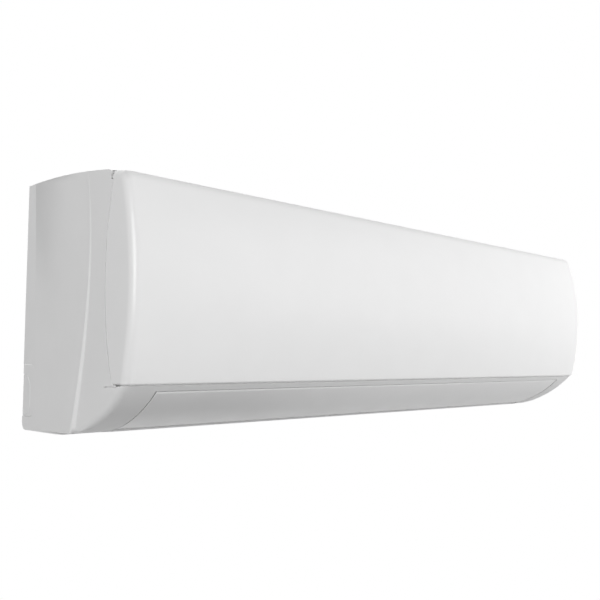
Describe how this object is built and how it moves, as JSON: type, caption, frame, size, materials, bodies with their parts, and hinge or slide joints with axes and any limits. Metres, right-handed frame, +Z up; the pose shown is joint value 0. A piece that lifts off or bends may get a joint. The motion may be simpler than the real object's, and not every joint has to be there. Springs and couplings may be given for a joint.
{
  "type": "mini split indoor unit",
  "caption": "Wall-hung indoor air unit with a bulged hinged front panel, a curved outlet flap along the chin, swept ends and a roof grille over a long fan and coil.",
  "frame": {"origin": "centre of the mounting plate's wall face, at mid height of the case", "axes": "+X to the viewer's right along the case, +Y into the wall so the front faces -Y, +Z up"},
  "size_m": [0.97, 0.2467, 0.3],
  "materials": {
    "case_abs": "fine satin white ABS",
    "panel_abs": "smooth white ABS",
    "housing_plastic": "matte off-white polystyrene",
    "fan_plastic": "glass-filled dark grey plastic",
    "vane_plastic": "matte light grey plastic",
    "rubber": "matt black rubber",
    "zinc_steel": "galvanised sheet steel",
    "steel": "bright steel",
    "fins": "thin aluminium fins",
    "copper": "copper tube",
    "brass": "machined brass",
    "filter_plastic": "blue-grey polypropylene net",
    "board": "green circuit board",
    "terminal": "cream terminal plastic"
  },
  "bodies": {
    "chassis": {"outer_case": "case_abs", "rear_housing": "housing_plastic", "drain_tray": "housing_plastic", "drain_plug": "rubber", "coil_front_lower": "fins", "coil_front_upper": "fins", "coil_rear": "fins", "coil_end_left": "zinc_steel", "coil_end_right": "zinc_steel", "coil_sensor": "copper", "fan_bearing": "rubber", "fan_motor": "zinc_steel", "motor_ring_inner": "rubber", "motor_ring_outer": "rubber", "motor_clamp": "housing_plastic", "vane_motor_left": "zinc_steel", "vane_motor_right": "zinc_steel", "flap_motor": "zinc_steel", "wall_plate": "zinc_steel", "gas_pipe": "copper", "liquid_pipe": "copper", "gas_flare_nut": "brass", "liquid_flare_nut": "brass", "pipe_clamp": "housing_plastic", "pipe_knockout_left_outer": "case_abs", "pipe_knockout_left_inner": "case_abs", "pipe_knockout_right_outer": "case_abs", "pipe_knockout_right_inner": "case_abs", "air_filter_left": "filter_plastic", "air_filter_right": "filter_plastic", "control_box": "housing_plastic", "control_box_cover": "housing_plastic", "circuit_board": "board", "terminal_block": "terminal", "wiring_cover": "case_abs", "display_board": "board", "room_sensor": "terminal", "case_screw_left": "steel", "case_screw_centre": "steel", "case_screw_right": "steel"},
    "front_panel": {"front_panel": "panel_abs"},
    "air_flap": {"air_flap": "panel_abs"},
    "fan": {"fan_wheel": "fan_plastic", "fan_stub_shaft": "steel", "motor_shaft": "steel"},
    "aux_button": {"aux_button": "case_abs"},
    "vane_link_left": {"vane_link_left": "vane_plastic"},
    "vane_link_right": {"vane_link_right": "vane_plastic"},
    "vane_01": {"vane_01": "vane_plastic"},
    "vane_02": {"vane_02": "vane_plastic"},
    "vane_03": {"vane_03": "vane_plastic"},
    "vane_04": {"vane_04": "vane_plastic"},
    "vane_05": {"vane_05": "vane_plastic"},
    "vane_06": {"vane_06": "vane_plastic"},
    "vane_07": {"vane_07": "vane_plastic"},
    "vane_08": {"vane_08": "vane_plastic"},
    "vane_09": {"vane_09": "vane_plastic"},
    "vane_10": {"vane_10": "vane_plastic"}
  },
  "joints": [
    {"name": "panel_hinge", "type": "hinge", "parent": "chassis", "child": "front_panel", "pos_m": [0, -0.206, 0.12897], "axis": [-1, 0, 0], "range_deg": [0, 65]},
    {"name": "flap_hinge", "type": "hinge", "parent": "chassis", "child": "air_flap", "pos_m": [0, -0.152, -0.12801], "axis": [1, 0, 0], "range_deg": [0, 80]},
    {"name": "fan_spin", "type": "hinge", "parent": "chassis", "child": "fan", "pos_m": [0, -0.106, -0.036], "axis": [1, 0, 0], "continuous": true},
    {"name": "aux_button_press", "type": "slide", "parent": "chassis", "child": "aux_button", "axis": [0, 1, 0], "range_m": [0, 0.0012], "stiffness_N_per_m": 250},
    {"name": "vane_01_swing", "type": "hinge", "parent": "chassis", "child": "vane_01", "pos_m": [-0.40105, -0.10135, -0.1218], "axis": [0, -0.5736, 0.8192], "range_deg": [-30, 30]},
    {"name": "vane_02_swing", "type": "hinge", "parent": "chassis", "child": "vane_02", "pos_m": [-0.32115, -0.10135, -0.1218], "axis": [0, -0.5736, 0.8192], "range_deg": [-30, 30]},
    {"name": "vane_03_swing", "type": "hinge", "parent": "chassis", "child": "vane_03", "pos_m": [-0.24125, -0.10135, -0.1218], "axis": [0, -0.5736, 0.8192], "range_deg": [-30, 30]},
    {"name": "vane_04_swing", "type": "hinge", "parent": "chassis", "child": "vane_04", "pos_m": [-0.16135, -0.10135, -0.1218], "axis": [0, -0.5736, 0.8192], "range_deg": [-30, 30]},
    {"name": "vane_05_swing", "type": "hinge", "parent": "chassis", "child": "vane_05", "pos_m": [-0.08145, -0.10135, -0.1218], "axis": [0, -0.5736, 0.8192], "range_deg": [-30, 30]},
    {"name": "vane_link_left_pin", "type": "hinge", "parent": "vane_03", "child": "vane_link_left", "pos_m": [-0.24125, -0.09136, -0.10992], "axis": [0, -0.5736, 0.8192], "range_deg": [-30, 30]},
    {"name": "vane_06_swing", "type": "hinge", "parent": "chassis", "child": "vane_06", "pos_m": [-0.00155, -0.10135, -0.1218], "axis": [0, -0.5736, 0.8192], "range_deg": [-30, 30]},
    {"name": "vane_07_swing", "type": "hinge", "parent": "chassis", "child": "vane_07", "pos_m": [0.07835, -0.10135, -0.1218], "axis": [0, -0.5736, 0.8192], "range_deg": [-30, 30]},
    {"name": "vane_08_swing", "type": "hinge", "parent": "chassis", "child": "vane_08", "pos_m": [0.15825, -0.10135, -0.1218], "axis": [0, -0.5736, 0.8192], "range_deg": [-30, 30]},
    {"name": "vane_09_swing", "type": "hinge", "parent": "chassis", "child": "vane_09", "pos_m": [0.23815, -0.10135, -0.1218], "axis": [0, -0.5736, 0.8192], "range_deg": [-30, 30]},
    {"name": "vane_10_swing", "type": "hinge", "parent": "chassis", "child": "vane_10", "pos_m": [0.31805, -0.10135, -0.1218], "axis": [0, -0.5736, 0.8192], "range_deg": [-30, 30]},
    {"name": "vane_link_right_pin", "type": "hinge", "parent": "vane_08", "child": "vane_link_right", "pos_m": [0.15825, -0.09136, -0.10992], "axis": [0, -0.5736, 0.8192], "range_deg": [-30, 30]}
  ],
  "couplings": [
    {"joint": "vane_01_swing", "follows": "vane_03_swing", "ratio": 1},
    {"joint": "vane_02_swing", "follows": "vane_03_swing", "ratio": 1},
    {"joint": "vane_04_swing", "follows": "vane_03_swing", "ratio": 1},
    {"joint": "vane_05_swing", "follows": "vane_03_swing", "ratio": 1},
    {"joint": "vane_link_left_pin", "follows": "vane_03_swing", "ratio": -1},
    {"joint": "vane_06_swing", "follows": "vane_08_swing", "ratio": 1},
    {"joint": "vane_07_swing", "follows": "vane_08_swing", "ratio": 1},
    {"joint": "vane_09_swing", "follows": "vane_08_swing", "ratio": 1},
    {"joint": "vane_10_swing", "follows": "vane_08_swing", "ratio": 1},
    {"joint": "vane_link_right_pin", "follows": "vane_08_swing", "ratio": -1}
  ]
}
